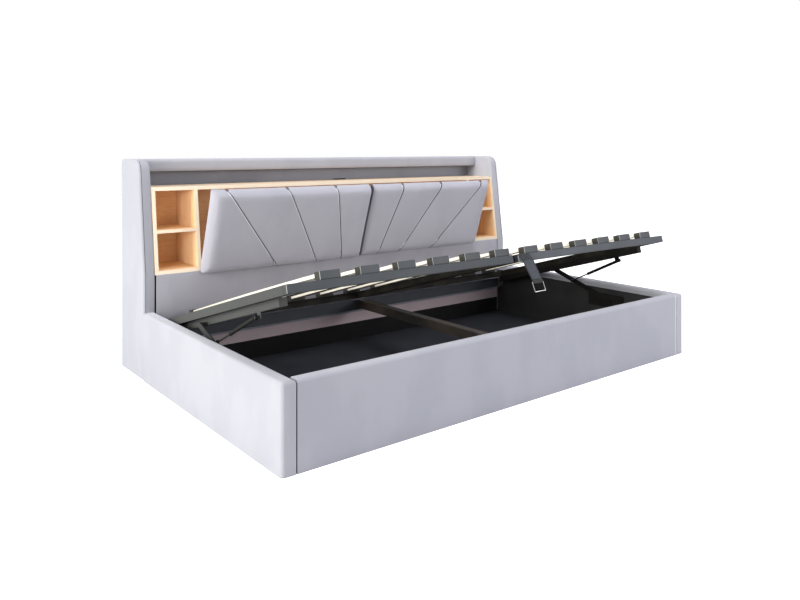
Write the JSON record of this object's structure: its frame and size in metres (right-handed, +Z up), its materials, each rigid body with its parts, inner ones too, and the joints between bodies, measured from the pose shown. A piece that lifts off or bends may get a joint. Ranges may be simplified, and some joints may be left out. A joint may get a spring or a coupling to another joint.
{
  "type": "storage bed",
  "caption": "Upholstered side-lift storage bed with a slatted platform on lift arms and gas springs, and a headboard box with cubbies, a ledge and padded flaps.",
  "frame": {"origin": "on the floor, at the middle of the bounding box's bottom face", "axes": "+X along the headboard to the right as seen from the front rail, +Y from the front rail to the headboard, +Z up"},
  "size_m": [2.12, 1.562, 0.945],
  "materials": {
    "velvet": "short-pile velvet upholstery",
    "oak": "light oak veneer, satin",
    "slat_birch": "bent birch ply, satin",
    "blue_grey_steel": "powder coat, fine texture",
    "black_steel": "black powder coat",
    "bare_steel": "bright zinc or ground steel",
    "cap_plastic": "moulded plastic, matte",
    "webbing": "woven webbing",
    "grey_lining": "non-woven cloth over board"
  },
  "bodies": {
    "bed_frame": {"side_rail_left": "velvet", "side_rail_right": "velvet", "front_rail": "velvet", "storage_floor": "grey_lining", "wing_left": "velvet", "wing_right": "velvet", "lower_panel": "velvet", "back_board": "velvet", "top_rail": "velvet", "box_top": "oak", "box_bottom": "oak", "box_back": "oak", "box_end_left": "oak", "box_end_right": "oak", "divider_left": "oak", "divider_right": "oak", "shelf_left": "oak", "shelf_right": "oak", "flap_hinge_left": "bare_steel", "flap_hinge_right": "bare_steel", "rear_rail": "blue_grey_steel", "centre_beam": "black_steel", "lift_plate_left": "black_steel", "lift_plate_right": "black_steel"},
    "lift_arms": {"lift_arm_left": "black_steel", "lift_arm_right": "black_steel"},
    "platform": {"front_beam_left": "blue_grey_steel", "front_beam_right": "blue_grey_steel", "rear_beam_left": "blue_grey_steel", "rear_beam_right": "blue_grey_steel", "end_tube_left": "blue_grey_steel", "end_tube_right": "blue_grey_steel", "middle_tube_left": "blue_grey_steel", "middle_tube_right": "blue_grey_steel", "slat_left_1": "slat_birch", "slat_left_2": "slat_birch", "slat_left_3": "slat_birch", "slat_left_4": "slat_birch", "slat_left_5": "slat_birch", "slat_left_6": "slat_birch", "slat_right_1": "slat_birch", "slat_right_2": "slat_birch", "slat_right_3": "slat_birch", "slat_right_4": "slat_birch", "slat_right_5": "slat_birch", "slat_right_6": "slat_birch", "front_caps_left": "cap_plastic", "front_caps_right": "cap_plastic", "rear_caps_left": "cap_plastic", "rear_caps_right": "cap_plastic", "lift_channel_left": "black_steel", "lift_channel_right": "black_steel", "pull_strap": "webbing"},
    "gas_cylinders": {"gas_cylinder_left": "black_steel", "gas_cylinder_right": "black_steel"},
    "gas_rods": {"gas_rod_left": "bare_steel", "gas_rod_right": "bare_steel"},
    "strap_ring": {"strap_ring": "bare_steel"},
    "flap_left": {"flap_left": "velvet"},
    "flap_right": {"flap_right": "velvet"}
  },
  "joints": [
    {"name": "arm_lift", "type": "hinge", "parent": "bed_frame", "child": "lift_arms", "pos_m": [0, -0.376, 0.1979], "axis": [1, 0, 0], "range_deg": [-17.16, 18.5]},
    {"name": "platform_tilt", "type": "hinge", "parent": "lift_arms", "child": "platform", "pos_m": [0, -0.00025, 0.31652], "axis": [1, 0, 0], "range_deg": [-35.2, 32.7]},
    {"name": "cylinder_swing", "type": "hinge", "parent": "platform", "child": "gas_cylinders", "pos_m": [0, -0.45315, 0.41955], "axis": [1, 0, 0], "range_deg": [-5.9, 5.5]},
    {"name": "rod_slide", "type": "slide", "parent": "gas_cylinders", "child": "gas_rods", "axis": [0, 0.9088, -0.4171], "range_m": [-0.072, 0.078]},
    {"name": "ring_swing", "type": "hinge", "parent": "platform", "child": "strap_ring", "pos_m": [0, -0.72512, 0.44951], "axis": [1, 0, 0], "range_deg": [-25, 45]},
    {"name": "flap_left_hinge", "type": "hinge", "parent": "bed_frame", "child": "flap_left", "pos_m": [-0.41275, 0.47675, 0.4517], "axis": [1, 0, 0], "range_deg": [-27.2, 0]},
    {"name": "flap_right_hinge", "type": "hinge", "parent": "bed_frame", "child": "flap_right", "pos_m": [0.41275, 0.47675, 0.4517], "axis": [1, 0, 0], "range_deg": [-27.2, 0]}
  ],
  "couplings": [
    {"joint": "platform_tilt", "follows": "arm_lift", "ratio": -1.8986},
    {"joint": "cylinder_swing", "follows": "arm_lift", "ratio": -0.3146},
    {"joint": "rod_slide", "follows": "arm_lift", "m_per_rad": 0.236}
  ]
}
